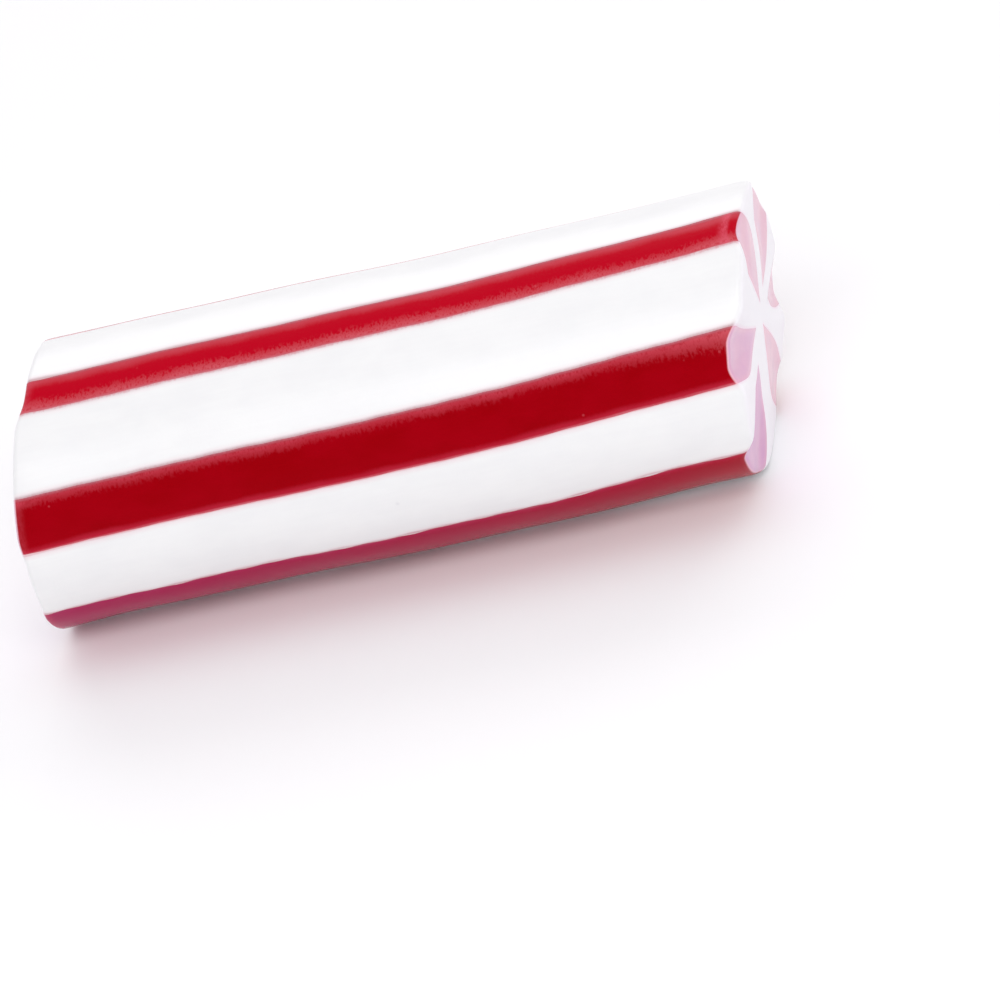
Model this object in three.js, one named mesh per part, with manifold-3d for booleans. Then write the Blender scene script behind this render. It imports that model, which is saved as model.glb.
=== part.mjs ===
// A candy twist of pulled sugar: a short white log with six red stripes. Each stripe is a
// leaf-shaped wedge that runs right through the log, so the cut ends show a pinwheel.
// Millimetres. +X runs along the candy to the shown end, -Y is the shown side, +Z is up.
// Angles go round the axis from the shown side (0) over the top (90), seen from the +X end.

import * as THREE from 'three';
import { mergeVertices } from 'three/addons/utils/BufferGeometryUtils.js';
import Module from 'manifold-3d';

// The log
const DIAMETER = 13;
const RADIUS = DIAMETER / 2;
const LENGTH = 33.6; // end to end, along the axis
const TAPER = 0.02; // of the radius, from the -X end to the +X end
const CUT_SLOPE = 0.187; // both ends are cut aslant: X gained for each millimetre across
const CUT_FACING = 34; // the angle that the slanted cuts stay level along
const FLAT_HALF_ANGLE = 15; // half of the resting flat, seen from the axis
const FLAT_DEPTH = RADIUS * Math.cos(rad(FLAT_HALF_ANGLE)); // axis to flat

// Pulled sugar isn't true: the axis bows and the radius swells a little along the log
const BOW = { depth: 0.075, wavelength: 30, start: -3.5, facing: -56 };
const SWELLS = [
	{ depth: 0.04, wavelength: 36, lobes: 0, phase: 0.87 },
	{ depth: 0.02, wavelength: 21, lobes: 2, phase: 0.35 },
	{ depth: 0.02, wavelength: 9.5, lobes: 3, phase: 4.2 },
];
const END_FLARE = { depth: 0.08, reach: 2 }; // the cut squeezes the ends out a little

// Ends: rounded rims and a low relief that grows from the hub out to the rim
const RIM_ROUND = 0.32;
const HUB_HEIGHT = 0.05;
const RELIEF_START = 0.3; // of the radius
const RELIEF_FULL = 0.95; // of the radius
const RELIEF_DEPTH = 2.4; // how far into the log the relief carries its surface
const RELIEF_SLOPE = 7; // degrees from a petal's edge to its own level, and to the white's

// Stripes, in order round the axis. centre and span: degrees at the -X end. tip: the leaf's
// point, as a fraction of the radius and an angle. belly: its fullness, and bend: how far it
// curves towards the next stripe, both as fractions of the radius. before, petal and after:
// heights on the end faces, at the -X end and the +X end, of the white beside the leaf's
// first flank, of the leaf, and of the white beside its second flank.
const STRIPES = [
	{ centre: 19, span: 22.5, tip: [ 0.18, 25 ], belly: 0.042, bend: -0.055,
		before: [ 0, 0.28 ], petal: [ 0.18, -0.31 ], after: [ 0.17, 0.36 ] },
	{ centre: 71.8, span: 15.5, tip: [ 0.16, 130 ], belly: 0.08, bend: 0.065,
		before: [ 0.17, 0.36 ], petal: [ -0.08, -0.06 ], after: [ 0, 0.12 ] },
	{ centre: 134, span: 38, tip: [ 0.31, 150 ], belly: 0, bend: 0.095,
		before: [ 0.15, 0.08 ], petal: [ 0.38, -0.26 ], after: [ 0.2, -0.06 ] },
	{ centre: 190.5, span: 20, tip: [ 0.42, 183 ], belly: 0.05, bend: 0,
		before: [ 0.2, 0.03 ], petal: [ 0, -0.28 ], after: [ 0.15, 0.17 ] },
	{ centre: 234.5, span: 19, tip: [ 0.12, 203 ], belly: 0.1, bend: 0.06,
		before: [ 0.15, 0.08 ], petal: [ -0.05, -0.22 ], after: [ 0.15, -0.13 ] },
	{ centre: 313, span: 40, tip: [ 0.29, 327 ], belly: 0.077, bend: -0.08,
		before: [ 0.15, 0 ], petal: [ 0.08, -0.25 ], after: [ -0.06, 0.28 ] },
];
const TWIST = 5; // degrees that the stripes turn over the length, most of it near +X
const SEAM_GAP = 0.05; // between a stripe and the white sugar
const TIP_GAP = 0.12; // the same at a leaf's point, along the leaf

// Fineness
const SIDES = 64;
const STATIONS = 22;
const FACE_RINGS = [ 0.2, 0.4, 0.58, 0.74, 0.87 ]; // of the radius
const RIM_STEPS = 3;
const LEAF_STEPS = 6;
const WEDGE_STEPS = 7;
const WEDGE_OVERHANG = 4; // a wedge's length past each end
const WEDGE_REACH = 1.2; // of the radius

function rad( degrees ) {

	return THREE.MathUtils.degToRad( degrees );

}

function twistAt( x ) {

	const along = THREE.MathUtils.clamp( x / LENGTH + 0.5, 0, 1.1 );
	return rad( TWIST ) * along * along;

}

// The point at radius r and angle round the axis, on the bowed axis
function aroundAxis( x, r, angle ) {

	const bow = BOW.depth * Math.sin( 2 * Math.PI * ( x - BOW.start ) / BOW.wavelength );
	const facing = rad( BOW.facing );
	const y = - r * Math.cos( angle ) - bow * Math.cos( facing );
	const z = r * Math.sin( angle ) + bow * Math.sin( facing );
	return new THREE.Vector3( x, y, z );

}

function swellAt( x, angle ) {

	const waves = SWELLS.map( ( wave ) => {

		const turn = 2 * Math.PI * x / wave.wavelength + wave.lobes * angle + wave.phase;
		return wave.depth * Math.sin( turn );

	} );
	return waves.reduce( ( sum, wave ) => sum + wave, 0 );

}

// Heights round the rim of one end: level across each petal, sloping to the white beside it
function rimStops( end ) {

	const side = end < 0 ? 0 : 1;
	const stops = [];
	STRIPES.forEach( ( stripe, index ) => {

		const last = index === STRIPES.length - 1;
		const next = last ? STRIPES[ 0 ] : STRIPES[ index + 1 ];
		const inner = Math.max( stripe.span / 2 - RELIEF_SLOPE, 0 );
		const from = stripe.centre + stripe.span / 2;
		const to = next.centre - next.span / 2 + ( last ? 360 : 0 );
		const middle = ( from + to ) / 2;
		const stopAt = ( degrees, heights ) => stops.push( { degrees, height: heights[ side ] } );
		stopAt( stripe.centre - inner, stripe.petal );
		stopAt( stripe.centre + inner, stripe.petal );
		stopAt( Math.min( from + RELIEF_SLOPE, middle ), stripe.after );
		stopAt( Math.max( to - RELIEF_SLOPE, middle ), next.before );

	} );
	stops.push( { degrees: stops[ 0 ].degrees + 360, height: stops[ 0 ].height } );
	return stops;

}

const RIM_STOPS = { '-1': rimStops( - 1 ), '1': rimStops( 1 ) };

// How far the end face stands out at a point: smooth steps from stop to stop round the rim
function reliefAt( end, across, angle ) {

	const stops = RIM_STOPS[ end ];
	const first = stops[ 0 ].degrees;
	const turned = THREE.MathUtils.radToDeg( angle - twistAt( end * LENGTH / 2 ) );
	const degrees = first + THREE.MathUtils.euclideanModulo( turned - first, 360 );
	const after = stops.findIndex( ( stop ) => stop.degrees > degrees );
	const [ low, high ] = [ stops[ after - 1 ], stops[ after ] ];
	const share = THREE.MathUtils.smoothstep( degrees, low.degrees, high.degrees );
	const rim = THREE.MathUtils.lerp( low.height, high.height, share );
	const ramp = THREE.MathUtils.smoothstep( across, RELIEF_START, RELIEF_FULL );
	return THREE.MathUtils.lerp( HUB_HEIGHT, rim, ramp );

}

// Takes a point of the plain round log to its place on the real one
function shapeLog( point ) {

	const across = Math.hypot( point.y, point.z ) / RADIUS;
	const angle = Math.atan2( point.z, - point.y );
	const end = point.x < 0 ? - 1 : 1;
	const toEnd = LENGTH / 2 - Math.abs( point.x );

	const tapered = RADIUS * ( 1 - TAPER * point.x / LENGTH );
	const flare = END_FLARE.depth * Math.exp( - ( ( toEnd / END_FLARE.reach ) ** 2 ) );
	const r = across * ( tapered + flare + swellAt( point.x, angle ) );

	const carried = THREE.MathUtils.smoothstep( RELIEF_DEPTH - toEnd, 0, RELIEF_DEPTH );
	const relief = end * carried * reliefAt( end, across, angle );
	const slant = CUT_SLOPE * r * Math.sin( angle - rad( CUT_FACING ) );

	const placed = aroundAxis( point.x, r, angle );
	placed.x += slant + relief;
	placed.z = Math.max( placed.z, - FLAT_DEPTH );
	return placed;

}

// Profile of the plain round log, from the middle of one end to the middle of the other
function logProfile() {

	const half = LENGTH / 2;
	const start = [ new THREE.Vector2( 0, - half ) ];
	FACE_RINGS.forEach( ( ring ) => start.push( new THREE.Vector2( ring * RADIUS, - half ) ) );
	for ( let step = 0; step <= RIM_STEPS; step ++ ) {

		const turn = Math.PI / 2 * step / RIM_STEPS;
		const r = RADIUS - RIM_ROUND * ( 1 - Math.sin( turn ) );
		start.push( new THREE.Vector2( r, - half + RIM_ROUND * ( 1 - Math.cos( turn ) ) ) );

	}

	const sides = [];
	for ( let step = 1; step < STATIONS; step ++ ) {

		const y = - Math.cos( Math.PI * step / STATIONS );
		const even = 2 * step / STATIONS - 1;
		sides.push( new THREE.Vector2( RADIUS, ( half - RIM_ROUND ) * ( 0.6 * y + 0.4 * even ) ) );

	}

	const finish = start.map( ( point ) => new THREE.Vector2( point.x, - point.y ) ).reverse();
	return [ ...start, ...sides, ...finish ];

}

function makeLog() {

	const log = new THREE.LatheGeometry( logProfile(), SIDES );
	log.rotateZ( - Math.PI / 2 ); // the lathe's axis +Y turns to +X
	return reshape( log, shapeLog );

}

// A leaf from its point to the rim and on past it, as an outline with the rim towards +x
function leafOutline( stripe, gap ) {

	const [ tipShare, tipAngle ] = stripe.tip;
	const tipTurn = rad( tipAngle - stripe.centre );
	const tip = new THREE.Vector2( Math.cos( tipTurn ), Math.sin( tipTurn ) );
	tip.multiplyScalar( tipShare * RADIUS );
	const rim = new THREE.Vector2( RADIUS, 0 );
	const rimHalf = RADIUS * Math.tan( rad( stripe.span / 2 ) );
	const flankPoint = ( side, along ) => {

		const swell = RADIUS * Math.sin( Math.PI * along ) ** 1.2;
		const half = rimHalf * along + stripe.belly * swell;
		const point = tip.clone().lerp( rim, along );
		point.y += side * ( half + gap ) + stripe.bend * swell;
		return point;

	};

	const [ lower, higher ] = [ - 1, 1 ].map( ( side ) => {

		const points = [];
		for ( let step = 1; step <= LEAF_STEPS; step ++ ) {

			points.push( flankPoint( side, step / LEAF_STEPS ) );

		}

		points.push( points[ LEAF_STEPS - 1 ].clone().multiplyScalar( WEDGE_REACH ) );
		return points;

	} );

	const outward = tip.clone().sub( rim ).normalize();
	const point = gap > 0 ? tip.clone().addScaledVector( outward, TIP_GAP ) : tip;
	return new THREE.Shape( [ point, ...lower, ...higher.reverse() ] );

}

// The leaf drawn out along the whole log and turned with the twist
function makeWedge( stripe, gap ) {

	const depth = LENGTH + 2 * WEDGE_OVERHANG;
	const options = { depth, steps: WEDGE_STEPS, bevelEnabled: false };
	const wedge = new THREE.ExtrudeGeometry( leafOutline( stripe, gap ), options );
	return reshape( wedge, ( point ) => {

		const x = depth / 2 - point.z;
		const r = Math.hypot( point.x, point.y );
		const angle = Math.atan2( point.y, point.x ) + rad( stripe.centre ) + twistAt( x );
		return aroundAxis( x, r, angle );

	} );

}

function reshape( geometry, move ) {

	const positions = geometry.getAttribute( 'position' );
	const point = new THREE.Vector3();
	for ( let index = 0; index < positions.count; index ++ ) {

		const moved = move( point.fromBufferAttribute( positions, index ) );
		positions.setXYZ( index, moved.x, moved.y, moved.z );

	}

	return geometry;

}

const wasm = await Module();
wasm.setup();

function toSolid( geometry ) {

	geometry.deleteAttribute( 'normal' );
	geometry.deleteAttribute( 'uv' );
	const merged = mergeVertices( geometry, 1e-4 );
	const vertProperties = new Float32Array( merged.getAttribute( 'position' ).array );
	const triVerts = dropCollapsed( merged.index.array );
	return new wasm.Manifold( new wasm.Mesh( { numProp: 3, vertProperties, triVerts } ) );

}

// Leaves out the triangles that merging has shrunk to a line, as at a lathe's two poles
function dropCollapsed( indices ) {

	const kept = [];
	for ( let start = 0; start < indices.length; start += 3 ) {

		const [ a, b, c ] = indices.slice( start, start + 3 );
		if ( a !== b && b !== c && c !== a ) kept.push( a, b, c );

	}

	return new Uint32Array( kept );

}

function toMesh( name, solid, material ) {

	const { vertProperties, triVerts } = solid.getMesh();
	const geometry = new THREE.BufferGeometry();
	geometry.setAttribute( 'position', new THREE.BufferAttribute( vertProperties, 3 ) );
	geometry.setIndex( new THREE.BufferAttribute( triVerts, 1 ) );
	geometry.computeVertexNormals();
	const mesh = new THREE.Mesh( geometry, material );
	mesh.name = name;
	return mesh;

}

const whiteSugar = new THREE.MeshStandardMaterial( { color: 0xfbf9fa, roughness: 0.4, metalness: 0 } );
const redSugar = new THREE.MeshStandardMaterial( { color: 0xb8122f, roughness: 0.3, metalness: 0 } );

const log = toSolid( makeLog() );
const candy = new THREE.Group();
let white = log;
STRIPES.forEach( ( stripe, index ) => {

	const wedge = toSolid( makeWedge( stripe, 0 ) );
	const groove = toSolid( makeWedge( stripe, SEAM_GAP ) );
	const red = redSugar.clone();
	candy.add( toMesh( `red_stripe_${ index + 1 }`, log.intersect( wedge ), red ) );
	white = white.subtract( groove );

} );
candy.add( toMesh( 'sugar_body', white, whiteSugar ) );

// The origin is the middle of the box's bottom face
const box = new THREE.Box3().setFromObject( candy );
const middle = box.getCenter( new THREE.Vector3() );
candy.position.set( - middle.x, - middle.y, - box.min.z );

export default candy;
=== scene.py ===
import math

import bpy
import numpy as np
from mathutils import Matrix, Vector


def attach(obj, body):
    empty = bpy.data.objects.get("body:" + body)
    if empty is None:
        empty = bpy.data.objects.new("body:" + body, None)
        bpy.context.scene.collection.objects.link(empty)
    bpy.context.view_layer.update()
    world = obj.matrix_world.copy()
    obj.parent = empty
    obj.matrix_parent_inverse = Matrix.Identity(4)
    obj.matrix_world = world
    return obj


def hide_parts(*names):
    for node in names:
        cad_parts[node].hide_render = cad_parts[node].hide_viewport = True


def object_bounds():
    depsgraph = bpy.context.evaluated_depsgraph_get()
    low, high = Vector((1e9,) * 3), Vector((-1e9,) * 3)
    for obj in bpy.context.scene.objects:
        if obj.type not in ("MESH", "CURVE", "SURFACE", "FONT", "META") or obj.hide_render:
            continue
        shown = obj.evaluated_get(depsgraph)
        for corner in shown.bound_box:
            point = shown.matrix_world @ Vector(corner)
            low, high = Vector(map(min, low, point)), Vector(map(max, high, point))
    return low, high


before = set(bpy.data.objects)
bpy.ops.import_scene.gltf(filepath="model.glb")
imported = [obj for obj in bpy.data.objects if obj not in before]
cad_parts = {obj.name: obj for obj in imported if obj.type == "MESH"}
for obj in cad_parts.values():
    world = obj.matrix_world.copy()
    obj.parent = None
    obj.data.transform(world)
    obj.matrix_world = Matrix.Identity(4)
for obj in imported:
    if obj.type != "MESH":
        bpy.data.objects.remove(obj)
cad_box = [list(corner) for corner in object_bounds()]

# A short log of white pulled sugar with six red stripes that run right through it. It lies on a
# narrow flat, +X is the end that shows, -Y the side that shows. Angles go round the axis from
# the shown side (0) over the top (90), seen from the +X end.

MM = 0.001  # metres

# The log
RADIUS = 6.5 * MM
LENGTH = 33.6 * MM
TAPER = 0.02  # of the radius, end to end
CUT_SLOPE = 0.187  # both ends are cut aslant
CUT_FACING = math.radians(34)
FLAT_HALF_ANGLE = math.radians(15)
FLAT_DEPTH = RADIUS * math.cos(FLAT_HALF_ANGLE)  # axis to resting flat

# How the soft log sagged and swelled: depth, wavelength, lobes round the log, phase
BOW_DEPTH, BOW_WAVE, BOW_START = 0.075 * MM, 30 * MM, -3.5 * MM
BOW_FACING = math.radians(-56)
SWELLS = (
    (0.040 * MM, 36.0 * MM, 0, 0.87),
    (0.020 * MM, 21.0 * MM, 2, 0.35),
    (0.020 * MM, 9.5 * MM, 3, 4.20),
)
FLARE_DEPTH, FLARE_REACH = 0.08 * MM, 2 * MM  # the cut squeezes the ends out a little

# The cut ends
RIM_ROUND = 0.32 * MM
HUB_HEIGHT = 0.05 * MM
RELIEF_START, RELIEF_FULL = 0.3, 0.95  # of the radius
RELIEF_DEPTH = 2.4 * MM  # how far into the log the relief carries its surface
RELIEF_SLOPE = math.radians(7)  # from a petal's edge to its own level, and to the white's


def stripe(centre, span, tip, belly, bend, before, petal, after):
    """One red stripe: its middle and width on the log, its leaf's point, fullness and bend, and
    the heights on the two ends of the white before it, of its petal and of the white after it."""
    return {
        "centre": math.radians(centre),
        "span": math.radians(span),
        "tip": (tip[0] * RADIUS, math.radians(tip[1] - centre)),
        "belly": belly * RADIUS,
        "bend": bend * RADIUS,
        "before": tuple(height * MM for height in before),
        "petal": tuple(height * MM for height in petal),
        "after": tuple(height * MM for height in after),
    }


# In turn round the log, from the one across the middle of the shown side
STRIPES = (
    stripe(19, 22.5, (0.18, 25), 0.042, -0.055, (0.00, 0.28), (0.18, -0.31), (0.17, 0.36)),
    stripe(71.8, 15.5, (0.16, 130), 0.08, 0.065, (0.17, 0.36), (-0.08, -0.06), (0.00, 0.12)),
    stripe(134, 38, (0.31, 150), 0.0, 0.095, (0.15, 0.08), (0.38, -0.26), (0.20, -0.06)),
    stripe(190.5, 20, (0.42, 183), 0.05, 0.0, (0.20, 0.03), (0.00, -0.28), (0.15, 0.17)),
    stripe(234.5, 19, (0.12, 203), 0.10, 0.06, (0.15, 0.08), (-0.05, -0.22), (0.15, -0.13)),
    stripe(313, 40, (0.29, 327), 0.077, -0.08, (0.15, 0.00), (0.08, -0.25), (-0.06, 0.28)),
)
TWIST = math.radians(5)  # most of it near the +X end

# Fineness of the meshes
SIDES = 256
STATIONS = 150
FACE_RINGS = 26
RIM_SEGMENTS = 6
LEAF_STEPS = 18
WEDGE_STEPS = 150
WEDGE_OVERHANG = 4 * MM  # a wedge's length past each end
WEDGE_REACH = 1.2  # of the radius
SLIVER = 0.002 * MM  # faces thinner than this are closed up


def look(
    margin=(0.5, 0.5),
    paleness_and_sheen=(0.4, 0.4),
    ragged=(0.5, 0.5),
    seam_shade=(0.2, 0.2),
    worn=(0.3, 0.3),
    roll=(0, 0),
    end_pale_sheen=0.0,
    reflected_violet=(0, 0),
    depth=0.5,
    rim_highlight=0.5,
    red_rim=0.0,
    cut_tone=0.7,
    wander=0.015,
):
    """How one stripe is finished. The first four hold a value for each flank, the lower angle
    first: how wide it pales, how pale it gets (on upper flanks partly a painted highlight), how
    ragged it is and how dark its painted seam shade is. worn, roll and the violet tint hold a
    value for each end: how pale the red is behind the rim, how far behind, and how much violet
    is painted in as reflection. The end setting widens the paler upper flank near the +X end with
    more painted highlight. depth goes from a bright to a deep red, and cut_tone from a lavender
    that is partly painted reflection to a pale pink cut. The rim setting is how clear the painted
    highlight line round the cut is, red_rim how far the side's red reaches round the rim, and
    wander how far the seams stray. Widths are in mm."""
    return {
        "margin": [width * MM for width in margin],
        "paleness_and_sheen": paleness_and_sheen,
        "ragged": ragged,
        "seam_shade": seam_shade,
        "worn": worn,
        "roll": [width * MM for width in roll],
        "end_pale_sheen": end_pale_sheen,
        "reflected_violet": reflected_violet,
        "depth": depth,
        "rim_highlight": rim_highlight,
        "red_rim": red_rim * MM,
        "cut_tone": cut_tone,
        "wander": wander * MM,
    }


# In the same order: across the shown side, above it, over the top, twice at the back, low on
# the shown side
LOOKS = (
    look(
        margin=(0.35, 0.50),
        paleness_and_sheen=(0.10, 0.30),
        ragged=(0.15, 0.70),
        seam_shade=(0.1, 1.0),
        worn=(0.25, 0.0),
        end_pale_sheen=0.8,
        depth=1.0,
        rim_highlight=1.0,
        cut_tone=0.28,
        wander=0.008,
    ),
    look(
        margin=(0.56, 0.52),
        paleness_and_sheen=(0.74, 0.42),
        ragged=(1.0, 0.2),
        seam_shade=(0.5, 0.95),
        worn=(0.3, 0.7),
        roll=(0, 0.42),
        depth=0.0,
        rim_highlight=0.0,
        red_rim=0.12,
        cut_tone=0.7,
        wander=0.008,
    ),
    look(),
    look(),
    look(),
    look(
        margin=(0.35, 0.35),
        paleness_and_sheen=(0.14, 0.05),
        ragged=(0.3, 0.4),
        seam_shade=(0.1, 0.6),
        worn=(0.3, 0.0),
        reflected_violet=(1.0, 0.1),
        depth=0.8,
        rim_highlight=0.7,
        cut_tone=0.0,
        wander=0.025,
    ),
)
WANDER_WAVES = (9.0 * MM, 3.7 * MM, 1.6 * MM)  # the seams wander a little along the log
WANDER_PHASE = 2.4  # sets each stripe's waves apart
FLANK_BLEND = (0.3, 0.7)  # where one flank's finish gives way to the other's, as a share across
END_FADE = 2.2 * MM  # how far the paler flank by the +X end, partly painted highlight, reaches
END_WIDER, END_PALER_SHEEN = 1.5, 0.5  # how much wider and paler that flank gets at the rim, the extra paleness painted highlight

# Camera, placed from the candy's axis
CAMERA_PLACE = (58.53 * MM, -212.85 * MM, 137.45 * MM)
CAMERA_BACK = (0.2124, -0.8101, 0.5464)
CAMERA_UP = (0.2095, 0.5839, 0.7843)
CAMERA_ANGLE = math.radians(10)

# Colours on the white: its body, its streaks and specks, the seams, the cut
WHITE_DIM = (0.85, 0.85, 0.855, 1)
WHITE_BRIGHT = (0.875, 0.875, 0.875, 1)
WHITE_STREAK = (0.80, 0.785, 0.80, 1)
DARK_SPECK = (0.25, 0.2, 0.3, 1)
BLED_RED = (0.66, 0.10, 0.15, 1)
PINK_HALO = (0.80, 0.45, 0.51, 1)
# Painted shade: a grey line on the white along the seams, for the shadow of a small step there
SEAM_SHADE_GREY = (0.42, 0.30, 0.32, 1)
# The cut's white is faintly lavender, a painted cool shade
CUT_WHITE = (0.922, 0.902, 0.934, 1)
CUT_WHITE_HALO = (0.87, 0.60, 0.74, 1)

# Colours on the red: its body, its flanks, its specks and seams, behind the rim, the cut
RED_BRIGHT = (0.475, 0.0005, 0.012, 1)
RED_DEEP = (0.305, 0.0003, 0.003, 1)
FLANK_RED = (0.46, 0.006, 0.03, 1)
# A pale red for the flanks: partly thinner red, partly painted highlight on the upper flanks
FLANK_PALE_AND_SHEEN = (0.64, 0.13, 0.155, 1)
LIGHT_SPECK = (0.85, 0.2, 0.25, 1)
SEAM_PINK = (0.74, 0.24, 0.29, 1)
# Painted shade: a dusky line on the red along the seams, for the shadow of the same step
SEAM_SHADE_RED = (0.27, 0.085, 0.105, 1)
# Painted reflection: a violet red for the bluish floor seen in the low stripe
REFLECTED_VIOLET_RED = (0.39, 0.012, 0.10, 1)
WORN_RED = (0.68, 0.10, 0.15, 1)
# Lavender on the cut petals: a pinker cut red with painted reflection of a bluish surround
CUT_LAVENDER_REFLECTION = (0.64, 0.325, 0.56, 1)
CUT_PINK = (0.81, 0.49, 0.59, 1)
CUT_FLANK = (0.84, 0.43, 0.52, 1)
# Painted highlight: a pale line along the cut's rounded rim
RIM_HIGHLIGHT = (0.88, 0.52, 0.60, 1)
RED_SHEEN = (1.0, 0.1, 0.2, 1)

GRAIN_DEPTH = 0.02 * MM


# ---------------------------------------------------------------- shape of the candy

def smooth_step(value, low, high):
    share = np.clip((value - low) / (high - low), 0, 1)
    return share * share * (3 - 2 * share)


def twist_at(x):
    along = np.clip(x / LENGTH + 0.5, 0, 1.1)
    return TWIST * along * along


def wander_at(x, number):
    """How far a stripe strays round the log at x, as an angle; number tells the stripes apart."""
    waves = sum(
        np.sin(2 * np.pi * x / wave + WANDER_PHASE * number * order)
        for order, wave in enumerate(WANDER_WAVES, 1)
    )
    return LOOKS[number]["wander"] / RADIUS * waves


def stripe_turn(x, number):
    """How far a stripe is turned round the log at x."""
    return twist_at(x) + wander_at(x, number)


def bow_at(x):
    """Sideways shift of the axis, as y and z."""
    depth = BOW_DEPTH * np.sin(2 * np.pi * (x - BOW_START) / BOW_WAVE)
    return -depth * math.cos(BOW_FACING), depth * math.sin(BOW_FACING)


def swell_at(x, angle):
    return sum(
        depth * np.sin(2 * np.pi * x / wave + lobes * angle + phase)
        for depth, wave, lobes, phase in SWELLS
    )


def rim_stops(side):
    """Angles and heights round one end's rim: level across each petal, sloping to the white."""
    angles, heights = [], []
    for index, this in enumerate(STRIPES):
        following = STRIPES[(index + 1) % len(STRIPES)]
        lap = 2 * math.pi if index == len(STRIPES) - 1 else 0
        inner = max(this["span"] / 2 - RELIEF_SLOPE, 0)
        start = this["centre"] + this["span"] / 2
        stop = following["centre"] - following["span"] / 2 + lap
        middle = (start + stop) / 2
        angles += [
            this["centre"] - inner,
            this["centre"] + inner,
            min(start + RELIEF_SLOPE, middle),
            max(stop - RELIEF_SLOPE, middle),
        ]
        heights += [this["petal"][side]] * 2 + [this["after"][side], following["before"][side]]
    angles.append(angles[0] + 2 * math.pi)
    heights.append(heights[0])
    return np.array(angles), np.array(heights)


def relief_at(end, across, angle):
    """Height of one end's face over its plain slanted cut; end is -1 or 1."""
    angles, heights = rim_stops(0 if end < 0 else 1)
    turned = (angle - twist_at(end * LENGTH / 2) - angles[0]) % (2 * math.pi) + angles[0]
    low = np.clip(np.searchsorted(angles, turned, side="right") - 1, 0, len(angles) - 2)
    gap = np.maximum(angles[low + 1] - angles[low], 1e-9)
    share = smooth_step((turned - angles[low]) / gap, 0, 1)
    rim = heights[low] + share * (heights[low + 1] - heights[low])
    ramp = smooth_step(across, RELIEF_START, RELIEF_FULL)
    return HUB_HEIGHT + ramp * (rim - HUB_HEIGHT)


def carried_relief(x, across, angle):
    """The relief, fading into the log from each end."""
    to_end = LENGTH / 2 - np.abs(x)
    carried = smooth_step(RELIEF_DEPTH - to_end, 0, RELIEF_DEPTH)
    near = relief_at(-1, across, angle)
    far = relief_at(1, across, angle)
    return carried * np.where(x < 0, -near, far)


def slant_at(r, angle):
    return CUT_SLOPE * r * np.sin(angle - CUT_FACING)


def radius_at(x, angle):
    to_end = LENGTH / 2 - np.abs(x)
    flare = FLARE_DEPTH * np.exp(-((to_end / FLARE_REACH) ** 2))
    return RADIUS * (1 - TAPER * x / LENGTH) + flare + swell_at(x, angle)


def shape_log(places):
    """Takes the points of a plain round log to their places on the real one."""
    x, y, z = places.T
    across = np.hypot(y, z) / RADIUS
    angle = np.arctan2(z, -y)
    r = across * radius_at(x, angle)
    bow_y, bow_z = bow_at(x)
    new_x = x + slant_at(r, angle) + carried_relief(x, across, angle)
    new_y = bow_y - r * np.cos(angle)
    new_z = np.maximum(bow_z + r * np.sin(angle), -FLAT_DEPTH)
    return np.stack([new_x, new_y, new_z], axis=1)


def leaf_outline(this):
    """The leaf's outline, with its rim towards +x and its point near the axis."""
    tip_r, tip_turn = this["tip"]
    tip = np.array([tip_r * math.cos(tip_turn), tip_r * math.sin(tip_turn)])
    rim = np.array([RADIUS, 0])
    rim_half = RADIUS * math.tan(this["span"] / 2)
    flanks = []
    for side in (-1, 1):
        along = np.arange(1, LEAF_STEPS + 1)[:, None] / LEAF_STEPS
        swell = np.abs(np.sin(np.pi * along)) ** 1.2
        aside = side * (rim_half * along + this["belly"] * swell) + this["bend"] * swell
        flank = tip + along * (rim - tip) + aside * np.array([0, 1])
        flanks.append(np.vstack([flank, flank[-1:] * WEDGE_REACH]))
    return np.vstack([tip[None], flanks[0], flanks[1][::-1]])


def undo_shape(places):
    """Where points of the shaped log came from: x, share of the radius and angle."""
    x, y, z = places.T
    bow_y, bow_z = bow_at(x)
    angle = np.arctan2(z - bow_z, bow_y - y)
    r = np.hypot(y - bow_y, z - bow_z)
    plain = x - slant_at(r, angle)
    for _ in range(4):
        across = r / radius_at(plain, angle)
        plain = x - slant_at(r, angle) - carried_relief(plain, across, angle)
    return plain, across, angle


def distance_to_line(points, line):
    """Distance of flat points to a line of straight steps."""
    nearest = np.full(len(points), np.inf)
    for start, end in zip(line[:-1], line[1:]):
        step = end - start
        share = np.clip((points - start) @ step / (step @ step), 0, 1)
        away = points - start - share[:, None] * step
        nearest = np.minimum(nearest, np.linalg.norm(away, axis=1))
    return nearest


def flank_distances(places, number):
    """Distances of points on the log to the two flanks of a stripe."""
    this = STRIPES[number]
    plain, across, angle = undo_shape(places)
    turned = angle - this["centre"] - stripe_turn(plain, number)
    flat = np.stack([np.cos(turned), np.sin(turned)], axis=1) * (across * RADIUS)[:, None]
    outline = leaf_outline(this)
    first = outline[: LEAF_STEPS + 2]
    second = np.vstack([outline[:1], outline[: LEAF_STEPS + 1 : -1]])
    return distance_to_line(flat, first), distance_to_line(flat, second)


# ---------------------------------------------------------------- modelling helpers

def deselect_all():
    if bpy.context.object and bpy.context.object.mode != "OBJECT":
        bpy.ops.object.mode_set(mode="OBJECT")
    bpy.ops.object.select_all(action="DESELECT")


def make_active(thing):
    deselect_all()
    thing.select_set(True)
    bpy.context.view_layer.objects.active = thing


def places_of(thing):
    places = np.empty(len(thing.data.vertices) * 3)
    thing.data.vertices.foreach_get("co", places)
    return places.reshape(-1, 3)


def put_places(thing, places):
    thing.data.vertices.foreach_set("co", places.ravel())
    thing.data.update()


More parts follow.
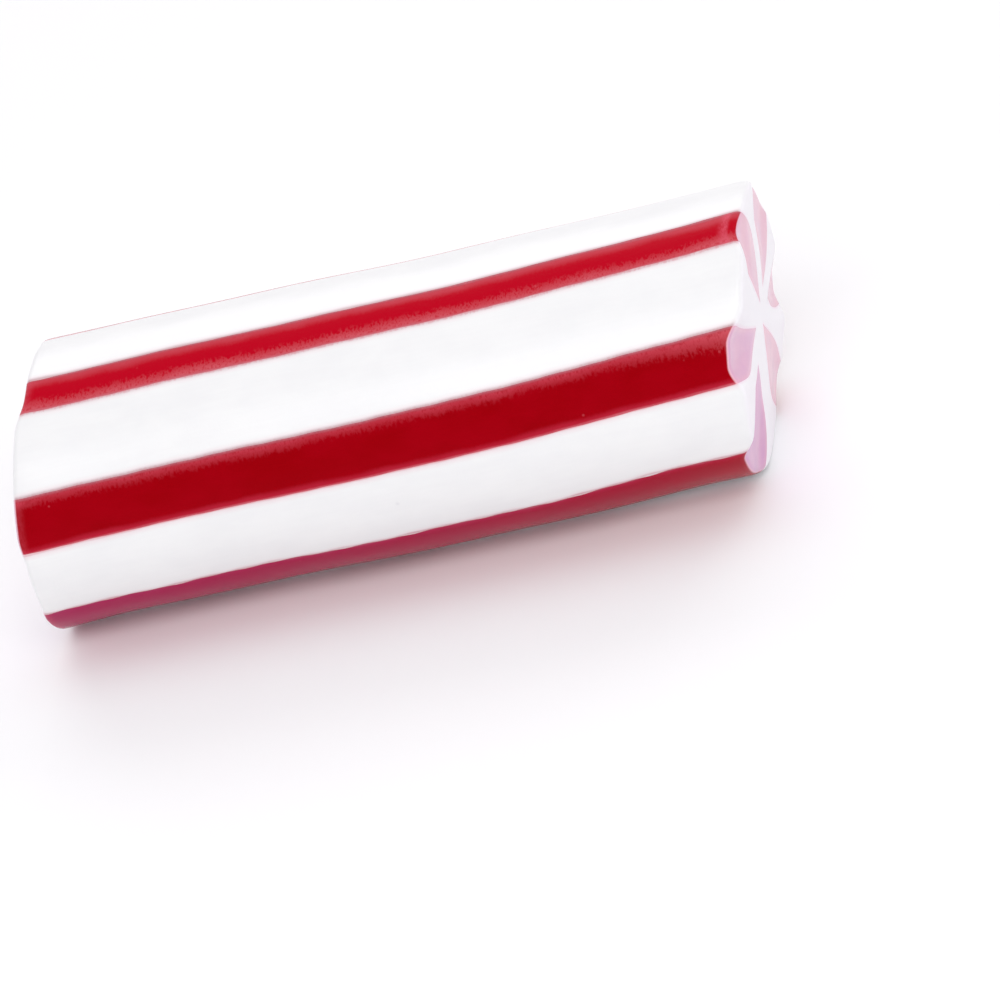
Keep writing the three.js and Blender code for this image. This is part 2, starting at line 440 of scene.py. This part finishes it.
def copy_of(thing, name):
    twin = thing.copy()
    twin.data = thing.data.copy()
    twin.name = name
    twin.data.name = name
    bpy.context.collection.objects.link(twin)
    return twin


def cut(thing, tool, operation):
    """Applies a Boolean of thing with tool."""
    make_active(thing)
    boolean = thing.modifiers.new("cut", "BOOLEAN")
    boolean.operation = operation
    boolean.solver = "MANIFOLD"
    boolean.object = tool
    bpy.ops.object.modifier_apply(modifier=boolean.name)


def take_out_slivers(thing):
    """Splits the faces that the cuts left into even triangles, and closes up the thinnest."""
    make_active(thing)
    bpy.ops.object.mode_set(mode="EDIT")
    bpy.ops.mesh.select_all(action="SELECT")
    bpy.ops.mesh.quads_convert_to_tris(quad_method="BEAUTY", ngon_method="BEAUTY")
    bpy.ops.mesh.dissolve_degenerate(threshold=SLIVER)
    bpy.ops.mesh.quads_convert_to_tris(quad_method="BEAUTY", ngon_method="BEAUTY")
    bpy.ops.object.mode_set(mode="OBJECT")


def drop(thing):
    mesh = thing.data
    bpy.data.objects.remove(thing)
    bpy.data.meshes.remove(mesh)


def select_faces(thing, keep):
    bpy.ops.mesh.select_all(action="DESELECT")
    bpy.ops.object.mode_set(mode="OBJECT")
    for face in thing.data.polygons:
        face.select = keep(face)
    bpy.ops.object.mode_set(mode="EDIT")


def select_edges(thing, keep):
    bpy.ops.mesh.select_all(action="DESELECT")
    bpy.ops.object.mode_set(mode="OBJECT")
    places = places_of(thing)
    for edge in thing.data.edges:
        edge.select = bool(keep(places[edge.vertices[0]], places[edge.vertices[1]]))
    bpy.ops.object.mode_set(mode="EDIT")


# ---------------------------------------------------------------- modelling

def make_log():
    """A cylinder with rounded rims and ringed ends, cut across finely and then shaped."""
    deselect_all()
    bpy.ops.mesh.primitive_cylinder_add(
        vertices=SIDES, radius=RADIUS, depth=LENGTH, rotation=(0, math.pi / 2, 0)
    )
    log = bpy.context.object
    log.name = "log"
    bpy.ops.object.transform_apply(location=True, rotation=True, scale=True)
    half = LENGTH / 2
    near = 0.001 * MM

    bpy.ops.object.mode_set(mode="EDIT")
    bpy.ops.mesh.select_mode(type="EDGE")
    select_edges(log, lambda a, b: abs(abs(a[0]) - half) < near and abs(a[0] - b[0]) < near)
    bpy.ops.mesh.bevel(offset=RIM_ROUND, segments=RIM_SEGMENTS, profile=0.5, affect="EDGES")
    select_edges(log, lambda a, b: abs(a[0] - b[0]) > half)
    bpy.ops.mesh.subdivide(number_cuts=STATIONS)

    bpy.ops.mesh.select_mode(type="FACE")
    select_faces(log, lambda face: len(face.vertices) > 4)
    ring = (RADIUS - RIM_ROUND) / (FACE_RINGS + 1)
    for _ in range(FACE_RINGS):
        bpy.ops.mesh.inset(thickness=ring, depth=0)
    bpy.ops.mesh.poke()
    bpy.ops.object.mode_set(mode="OBJECT")
    put_places(log, shape_log(places_of(log)))
    return log


def make_wedge(number):
    """A leaf's outline, extruded along the log and turned step by step with the twist."""
    this = STRIPES[number]
    outline = leaf_outline(this)
    start = -LENGTH / 2 - WEDGE_OVERHANG
    step = (LENGTH + 2 * WEDGE_OVERHANG) / WEDGE_STEPS
    deselect_all()
    bpy.ops.mesh.primitive_circle_add(vertices=len(outline), radius=RADIUS, fill_type="NGON")
    wedge = bpy.context.object
    turn = this["centre"] + np.arctan2(outline[:, 1], outline[:, 0]) + stripe_turn(start, number)
    r = np.hypot(outline[:, 0], outline[:, 1])
    put_places(
        wedge,
        np.stack([np.full(len(r), start), -r * np.cos(turn), r * np.sin(turn)], axis=1),
    )

    bpy.ops.object.mode_set(mode="EDIT")
    bpy.ops.mesh.select_all(action="SELECT")
    for count in range(WEDGE_STEPS):
        x = start + count * step
        bpy.ops.mesh.extrude_region_move(TRANSFORM_OT_translate={"value": (step, 0, 0)})
        bpy.ops.transform.rotate(
            value=float(stripe_turn(x + step, number) - stripe_turn(x, number)),
            orient_axis="X",
            center_override=(0, 0, 0),
        )
    bpy.ops.mesh.select_all(action="SELECT")
    bpy.ops.mesh.normals_make_consistent(inside=False)
    bpy.ops.object.mode_set(mode="OBJECT")
    places = places_of(wedge)
    bow_y, bow_z = bow_at(places[:, 0])
    put_places(wedge, places + np.stack([0 * bow_y, bow_y, bow_z], axis=1))
    return wedge


log = make_log()
wedges = [make_wedge(number) for number in range(len(STRIPES))]
body = copy_of(log, "white_body")
reds = []
for number, wedge in enumerate(wedges, 1):
    red = copy_of(log, f"stripe_{number}")
    cut(red, wedge, "INTERSECT")
    cut(body, wedge, "DIFFERENCE")
    drop(wedge)
    reds.append(red)
for piece in (body, *reds):
    take_out_slivers(piece)


# ---------------------------------------------------------------- marks for the materials

def add_mark(piece, name, values):
    mark = piece.data.attributes.new(name, "FLOAT", "POINT")
    mark.data.foreach_set("value", values.astype(np.float32))


def rim_distances(places):
    """How far points are from the cut, along the log, and how far in from the log's side."""
    plain, across, _ = undo_shape(places)
    return LENGTH / 2 - np.abs(plain), (1 - across) * RADIUS


def blend_flanks(pair, first, second):
    """A value that goes from one flank's to the other's."""
    share = first / np.maximum(first + second, 1e-9)
    return pair[0] + (pair[1] - pair[0]) * smooth_step(share, *FLANK_BLEND)


for number, (red, finish) in enumerate(zip(reds, LOOKS)):
    places = places_of(red)
    first, second = flank_distances(places, number)
    to_far_end = np.clip(places[:, 0] / LENGTH + 0.5, 0, 1)
    far_end = places[:, 0] > 0
    to_cut, to_side = rim_distances(places)
    rim = np.maximum(to_cut, to_side)
    # Near the +X end the paler upper flank widens, as painted highlight
    fade = finish["end_pale_sheen"] * far_end * np.exp(-rim / END_FADE)
    low_margin, high_margin = finish["margin"]
    wider_margin = high_margin * (1 + END_WIDER * fade)
    add_mark(red, "margin", np.minimum(first / low_margin, second / wider_margin))
    low_pale, high_pale = finish["paleness_and_sheen"]
    add_mark(red, "paleness_and_sheen", blend_flanks((low_pale, high_pale + END_PALER_SHEEN * fade), first, second))
    add_mark(red, "ragged", blend_flanks(finish["ragged"], first, second))
    # How strong the painted seam shade is, going from one flank's value to the other's
    add_mark(red, "seam_shade", blend_flanks(finish["seam_shade"], first, second))
    add_mark(red, "seam_mm", np.minimum(first, second) / MM)
    add_mark(red, "rim_mm", rim / MM)
    add_mark(red, "round_mm", (to_side - to_cut - finish["red_rim"]) / MM)
    near_roll, far_roll = finish["roll"]
    add_mark(red, "roll_mm", (rim - np.where(far_end, far_roll, near_roll)) / MM)
    near_worn, far_worn = finish["worn"]
    add_mark(red, "worn", np.where(far_end, far_worn, near_worn))
    # How much violet each end takes as painted reflection
    near_reflected_violet, far_reflected_violet = finish["reflected_violet"]
    add_mark(red, "reflected_violet", near_reflected_violet + (far_reflected_violet - near_reflected_violet) * to_far_end)
    for name in ("rim_highlight", "depth", "cut_tone"):
        add_mark(red, name, np.full(len(places), finish[name]))

# The white takes the raggedness and the painted seam shade of the flank that is nearest
places = places_of(body)
flanks = np.vstack([flank_distances(places, number) for number in range(len(STRIPES))])
nearest = flanks.argmin(axis=0)
add_mark(body, "seam_mm", flanks.min(axis=0) / MM)
to_cut, to_side = rim_distances(places)
add_mark(body, "round_mm", (to_side - to_cut) / MM)
for name in ("ragged", "seam_shade"):
    values = np.concatenate([finish[name] for finish in LOOKS])
    add_mark(body, name, values[nearest])

# The candy goes to the middle of the CAD model's box, with its flat on the ground
pieces = [body, *reds]
corners = np.vstack([places_of(piece) for piece in pieces])
low, high = corners.min(0), corners.max(0)
box_low, box_high = np.array(cad_box[0]), np.array(cad_box[1])
axis_place = (box_low + box_high) / 2 - (low + high) / 2
axis_place[2] = box_low[2] + FLAT_DEPTH
for piece in [log, *pieces]:
    put_places(piece, places_of(piece) + axis_place)
    make_active(piece)
    bpy.ops.object.shade_smooth()

# The shading of the whole log, so that no seam breaks it
for piece in pieces:
    make_active(piece)
    even = piece.modifiers.new("even shading", "DATA_TRANSFER")
    even.object = log
    even.use_loop_data = True
    even.data_types_loops = {"CUSTOM_NORMAL"}
    even.loop_mapping = "POLYINTERP_NEAREST"
    bpy.ops.object.modifier_apply(modifier=even.name)
drop(log)
deselect_all()


# ---------------------------------------------------------------- node helpers

def add_node(tree, kind, inputs=None, **settings):
    """Adds a node, with its settings and its inputs, each a value or a socket to link from."""
    node = tree.nodes.new("ShaderNode" + kind)
    for name, value in settings.items():
        setattr(node, name, value)
    for name, value in (inputs or {}).items():
        if isinstance(value, bpy.types.NodeSocket):
            tree.links.new(value, node.inputs[name])
        else:
            node.inputs[name].default_value = value
    return node


def ramp(tree, value, low, high, to_low=0.0, to_high=1.0):
    """A smooth step of a value."""
    node = add_node(
        tree,
        "MapRange",
        {
            "Value": value,
            "From Min": low,
            "From Max": high,
            "To Min": to_low,
            "To Max": to_high,
        },
        interpolation_type="SMOOTHSTEP",
    )
    return node.outputs["Result"]


def sums(tree, operation, first, second=0.0, third=0.0):
    """One step of arithmetic, on values or sockets."""
    node = add_node(tree, "Math", {0: first, 1: second, 2: third}, operation=operation)
    return node.outputs[0]


def mix_colour(tree, share, first, second):
    """A colour that goes from the first to the second as share goes from 0 to 1."""
    node = tree.nodes.new("ShaderNodeMix")
    node.data_type = "RGBA"
    for socket, value in ((0, share), (6, first), (7, second)):
        if isinstance(value, bpy.types.NodeSocket):
            tree.links.new(value, node.inputs[socket])
        else:
            node.inputs[socket].default_value = value
    return node.outputs[2]


def noise(tree, place, size, detail=2.0, roughness=0.5, stretch=(1, 1, 1)):
    """Noise with features of about the given size in metres."""
    mapping = add_node(tree, "Mapping", {"Vector": place, "Scale": stretch})
    node = add_node(
        tree,
        "TexNoise",
        {
            "Vector": mapping.outputs[0],
            "Scale": 1 / size,
            "Detail": detail,
            "Roughness": roughness,
        },
    )
    return node.outputs["Fac"]


def mark(tree, name):
    return add_node(tree, "Attribute", attribute_name=name).outputs["Fac"]


def cut_face(tree, low=-0.06, high=0.03):
    """Tells the cut ends, 1, from the rolled side, 0, by how many millimetres a place is past the
    middle of the rim."""
    return ramp(tree, mark(tree, "round_mm"), low, high)


def object_place(tree):
    return add_node(tree, "TexCoord").outputs["Object"]


def new_group(name, inputs, outputs):
    """A node group with float inputs, given with their usual values, and float outputs."""
    tree = bpy.data.node_groups.new(name, "ShaderNodeTree")
    for label, value in inputs.items():
        socket = tree.interface.new_socket(label, in_out="INPUT", socket_type="NodeSocketFloat")
        socket.default_value = value
    for label in outputs:
        tree.interface.new_socket(label, in_out="OUTPUT", socket_type="NodeSocketFloat")
    return tree, tree.nodes.new("NodeGroupInput").outputs, tree.nodes.new("NodeGroupOutput").inputs


def add_group(tree, group, **inputs):
    node = tree.nodes.new("ShaderNodeGroup")
    node.node_tree = group
    for name, value in inputs.items():
        node.inputs[name].default_value = value
    return node.outputs


def new_material(name):
    material = bpy.data.materials.new(name)
    material.use_nodes = True
    tree = material.node_tree
    return material, tree, tree.nodes["Principled BSDF"].inputs


# ---------------------------------------------------------------- effects both sugars share

def pulled_grain():
    """Fine lengthwise streaks and a soft mottling, from the pulling and rolling."""
    tree, _, gives = new_group("Pulled grain", {}, ("Streaks", "Mottling", "Height"))
    place = object_place(tree)
    streaks = noise(tree, place, 0.16 * MM, 3, 0.55, stretch=(0.06, 1, 1))
    mottling = noise(tree, place, 1.4 * MM, 3, 0.5, stretch=(0.55, 1, 1))
    pores = noise(tree, place, 0.11 * MM, 2, 0.6)
    tree.links.new(ramp(tree, streaks, 0.32, 0.68), gives["Streaks"])
    tree.links.new(ramp(tree, mottling, 0.3, 0.7), gives["Mottling"])
    height = sums(tree, "MULTIPLY_ADD", pores, 0.45, sums(tree, "MULTIPLY", streaks, 0.18))
    tree.links.new(sums(tree, "MULTIPLY_ADD", mottling, 1.2, height), gives["Height"])
    return tree


def seam_strokes():
    """Short strokes across the seams, where red and white were rolled into each other."""
    tree, takes, gives = new_group("Seam strokes", {"Size mm": 0.12}, ("Strokes",))
    mapping = add_node(tree, "Mapping", {"Vector": object_place(tree), "Scale": (1, 0.5, 0.5)})
    scale = sums(tree, "DIVIDE", 1 / MM, takes["Size mm"])
    inputs = {"Vector": mapping.outputs[0], "Scale": scale, "Detail": 3.0, "Roughness": 0.65}
    strokes = add_node(tree, "TexNoise", inputs)
    tree.links.new(ramp(tree, strokes.outputs["Fac"], 0.34, 0.66), gives["Strokes"])
    return tree


def specks():
    """Sparse tiny specks: one in many cells of a fine lattice holds one."""
    tree, takes, gives = new_group("Specks", {"Size mm": 0.5, "Rarity": 0.9}, ("Specks",))
    place = object_place(tree)
    scale = sums(tree, "DIVIDE", 1 / MM, takes["Size mm"])
    cells = add_node(tree, "TexVoronoi", {"Vector": place, "Scale": scale})
    lot = add_node(tree, "SeparateColor", {"Color": cells.outputs["Color"]}).outputs["Red"]
    chosen = sums(tree, "GREATER_THAN", lot, takes["Rarity"])
    dot = ramp(tree, cells.outputs["Distance"], 0.06, 0.16, 1, 0)
    tree.links.new(sums(tree, "MULTIPLY", dot, chosen), gives["Specks"])
    return tree


GRAIN = pulled_grain()
STROKES = seam_strokes()
SPECKS = specks()


# ---------------------------------------------------------------- the two sugars

def white_sugar():
    material, tree, shader = new_material("white pulled sugar")
    grain = add_group(tree, GRAIN)
    strokes = add_group(tree, STROKES, **{"Size mm": 0.14})["Strokes"]
    dark = add_group(tree, SPECKS, **{"Size mm": 1.2, "Rarity": 0.975})["Specks"]
    cut_end = cut_face(tree, -0.18, 0.16)

    colour = mix_colour(tree, grain["Mottling"], WHITE_DIM, WHITE_BRIGHT)
    streaked = sums(tree, "MULTIPLY", grain["Streaks"], 0.10)
    colour = mix_colour(tree, streaked, colour, WHITE_STREAK)
    colour = mix_colour(tree, sums(tree, "MULTIPLY", dark, 0.22), colour, DARK_SPECK)

    # Red bleeds into the white beside each seam, in strokes where the seam is ragged
    seam = mark(tree, "seam_mm")
    reach = sums(tree, "MULTIPLY", strokes, mark(tree, "ragged"))
    bleed = ramp(tree, sums(tree, "MULTIPLY_ADD", reach, -0.05, seam), -0.04, 0.11, 0.85, 0.0)
    colour = mix_colour(tree, bleed, colour, BLED_RED)
    halo = ramp(tree, seam, 0.0, 0.38, 0.32, 0.0)
    colour = mix_colour(tree, halo, colour, PINK_HALO)
    # Painted shade: a thin grey line on the white beside the seam, strongest by the upper flanks
    seam_shade = sums(tree, "MULTIPLY", mark(tree, "seam_shade"), ramp(tree, seam, 0.0, 0.22, 0.62, 0.0))
    colour = mix_colour(tree, seam_shade, colour, SEAM_SHADE_GREY)

    # A little lavender on the cut, beside the petals
    petal_halo = ramp(tree, seam, 0.0, 0.16, 0.45, 0.0)
    cut_white = mix_colour(tree, petal_halo, CUT_WHITE, CUT_WHITE_HALO)
    colour = mix_colour(tree, cut_end, colour, cut_white)
    tree.links.new(colour, shader["Base Color"])

    roughness = sums(tree, "MULTIPLY_ADD", grain["Mottling"], 0.10, 0.28)
    tree.links.new(sums(tree, "MULTIPLY_ADD", cut_end, 0.08, roughness), shader["Roughness"])
    strength = sums(tree, "MULTIPLY_ADD", cut_end, -0.32, 0.4)
    bump = add_node(
        tree, "Bump", {"Height": grain["Height"], "Distance": GRAIN_DEPTH, "Strength": strength}
    )
    tree.links.new(bump.outputs[0], shader["Normal"])
    return material


def red_sugar():
    material, tree, shader = new_material("red pulled sugar")
    grain = add_group(tree, GRAIN)
    strokes = add_group(tree, STROKES, **{"Size mm": 0.11})["Strokes"]
    light = add_group(tree, SPECKS, **{"Size mm": 0.55, "Rarity": 0.92})["Specks"]
    cut_end = cut_face(tree)
    seam = mark(tree, "seam_mm")

    # Deep red in the middle of a stripe, thinning to a paler red at its flanks; on the upper flanks
    # the paler red is partly a painted highlight
    depth = sums(tree, "MULTIPLY_ADD", grain["Mottling"], -0.2, mark(tree, "depth"))
    core = mix_colour(tree, depth, RED_BRIGHT, RED_DEEP)
    thinned_and_sheen = mix_colour(tree, mark(tree, "paleness_and_sheen"), FLANK_RED, FLANK_PALE_AND_SHEEN)
    uneven = sums(tree, "MULTIPLY", sums(tree, "SUBTRACT", strokes, 0.5), mark(tree, "ragged"))
    wavy = sums(tree, "MULTIPLY_ADD", grain["Mottling"], 0.25, mark(tree, "margin"))
    pale_flank_share = ramp(tree, sums(tree, "MULTIPLY_ADD", uneven, 0.7, wavy), 0.35, 1.30, 1.0, 0.0)
    patchy = sums(tree, "MULTIPLY_ADD", uneven, 0.9, 0.8)
    colour = mix_colour(tree, sums(tree, "MULTIPLY", pale_flank_share, patchy), core, thinned_and_sheen)
    colour = mix_colour(tree, sums(tree, "MULTIPLY", light, 0.15), colour, LIGHT_SPECK)
    bleed = ramp(tree, sums(tree, "MULTIPLY_ADD", uneven, 0.06, seam), 0.0, 0.12, 0.5, 0.0)
    colour = mix_colour(tree, bleed, colour, SEAM_PINK)
    stroked = sums(tree, "MULTIPLY_ADD", strokes, 0.6, 0.4)
    # Painted shade: a dusky line on the red beside the seam, in strokes
    seam_shade = sums(tree, "MULTIPLY", mark(tree, "seam_shade"), ramp(tree, seam, 0.0, 0.19, 0.65, 0.0))
    colour = mix_colour(tree, sums(tree, "MULTIPLY", seam_shade, stroked), colour, SEAM_SHADE_RED)
    # Painted reflection: violet mixed into the red, strongest toward -X
    reflected_violet = sums(tree, "MULTIPLY", mark(tree, "reflected_violet"), 0.8)
    colour = mix_colour(tree, reflected_violet, colour, REFLECTED_VIOLET_RED)

    # Paler in a mottled band behind the cut rim
    roll = mark(tree, "roll_mm")
    band = sums(tree, "MULTIPLY", ramp(tree, roll, -0.08, 0.10), ramp(tree, roll, 0.15, 0.6, 1, 0))
    band = sums(tree, "MULTIPLY", band, mark(tree, "worn"))
    band = sums(tree, "MULTIPLY", band, stroked)
    colour = mix_colour(tree, band, colour, WORN_RED)

    # Pale pink to lavender on the cut, the lavender partly painted reflection, with a painted
    # highlight line round the rim
    tone = sums(tree, "MULTIPLY_ADD", grain["Mottling"], 0.3, mark(tree, "cut_tone"))
    cut_red = mix_colour(tree, tone, CUT_LAVENDER_REFLECTION, CUT_PINK)
    cut_red = mix_colour(tree, ramp(tree, seam, 0.0, 0.3, 0.35, 0.0), cut_red, CUT_FLANK)
    colour = mix_colour(tree, cut_end, colour, cut_red)
    # Painted highlight along the rounded rim, as strong as each stripe's mark
    edge = ramp(tree, mark(tree, "rim_mm"), 0.10, 0.17, 0.8, 0.0)
    edge = sums(tree, "MULTIPLY", edge, mark(tree, "rim_highlight"))
    colour = mix_colour(tree, edge, colour, RIM_HIGHLIGHT)
    tree.links.new(colour, shader["Base Color"])

    shader["Specular Tint"].default_value = RED_SHEEN
    shader["Specular IOR Level"].default_value = 0.1
    tree.links.new(sums(tree, "MULTIPLY", cut_end, 0.5), shader["Coat Weight"])
    shader["Coat Roughness"].default_value = 0.3
    tree.links.new(sums(tree, "MULTIPLY_ADD", grain["Mottling"], 0.08, 0.19), shader["Roughness"])
    strength = sums(tree, "MULTIPLY_ADD", cut_end, -0.27, 0.35)
    bump = add_node(
        tree, "Bump", {"Height": grain["Height"], "Distance": GRAIN_DEPTH, "Strength": strength}
    )
    tree.links.new(bump.outputs[0], shader["Normal"])
    return material


WHITE_SUGAR = white_sugar()
RED_SUGAR = red_sugar()

for piece in pieces:
    piece.data.materials.clear()
    piece.data.materials.append(WHITE_SUGAR if piece is body else RED_SUGAR)
    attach(piece, "root")
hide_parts("sugar_body")
for number, red in enumerate(reds, 1):
    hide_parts(f"red_stripe_{number}")


# ---------------------------------------------------------------- floor, light and camera

def make_floor():
    deselect_all()
    bpy.ops.mesh.primitive_plane_add(size=3)
    floor = bpy.context.object
    floor.name = "floor"
    material, tree, shader = new_material("pale floor")
    cloudy = noise(tree, object_place(tree), 0.08)
    tree.links.new(
        mix_colour(tree, cloudy, (0.93, 0.93, 0.94, 1), (0.95, 0.95, 0.96, 1)), shader["Base Color"]
    )
    shader["Roughness"].default_value = 0.6
    floor.data.materials.append(material)


def make_world():
    """A white light tent, dim round the camera."""
    world = bpy.data.worlds.new("light tent")
    bpy.context.scene.world = world
    world.use_nodes = True
    tree = world.node_tree
    direction = add_node(tree, "TexCoord").outputs["Generated"]
    facing = add_node(
        tree,
        "VectorMath",
        {0: direction, 1: CAMERA_BACK},
        operation="DOT_PRODUCT",
    ).outputs["Value"]
    dim = ramp(tree, facing, 0.6, 0.97)
    colour = mix_colour(tree, dim, (0.99, 0.975, 1.0, 1), (0.35, 0.35, 0.37, 1))
    background = tree.nodes["Background"].inputs
    tree.links.new(colour, background["Color"])
    background["Strength"].default_value = 0.74


def make_softbox(name, place, size, watts):
    """A rectangular softbox that faces the candy, with its place and size in metres."""
    light = bpy.data.lights.new(name, "AREA")
    light.shape = "RECTANGLE"
    light.size, light.size_y = size
    light.energy = watts
    softbox = bpy.data.objects.new(name, light)
    turn = Vector(place).to_track_quat("Z", "Y").to_matrix()
    softbox.matrix_world = Matrix.Translation(place) @ turn.to_4x4()
    bpy.context.collection.objects.link(softbox)


def make_camera():
    back = Vector(CAMERA_BACK).normalized()
    right = Vector(CAMERA_UP).cross(back).normalized()
    up = back.cross(right)
    camera = bpy.data.objects.new("camera", bpy.data.cameras.new("camera"))
    turn = Matrix((right, up, back)).transposed()
    place = Vector(axis_place) + Vector(CAMERA_PLACE)
    camera.matrix_world = Matrix.Translation(place) @ turn.to_4x4()
    camera.data.angle = CAMERA_ANGLE
    camera.data.clip_start = 0.01
    camera.data.clip_end = 10
    bpy.context.collection.objects.link(camera)
    bpy.context.scene.camera = camera


make_floor()
make_world()
make_softbox("key softbox", (0.06, -0.242, 0.26), (0.34, 0.18), 0.70)
make_softbox("back softbox", (0.06, 0.35, 0.30), (0.65, 0.28), 0.67)
make_camera()
bpy.context.scene.view_settings.view_transform = "Standard"
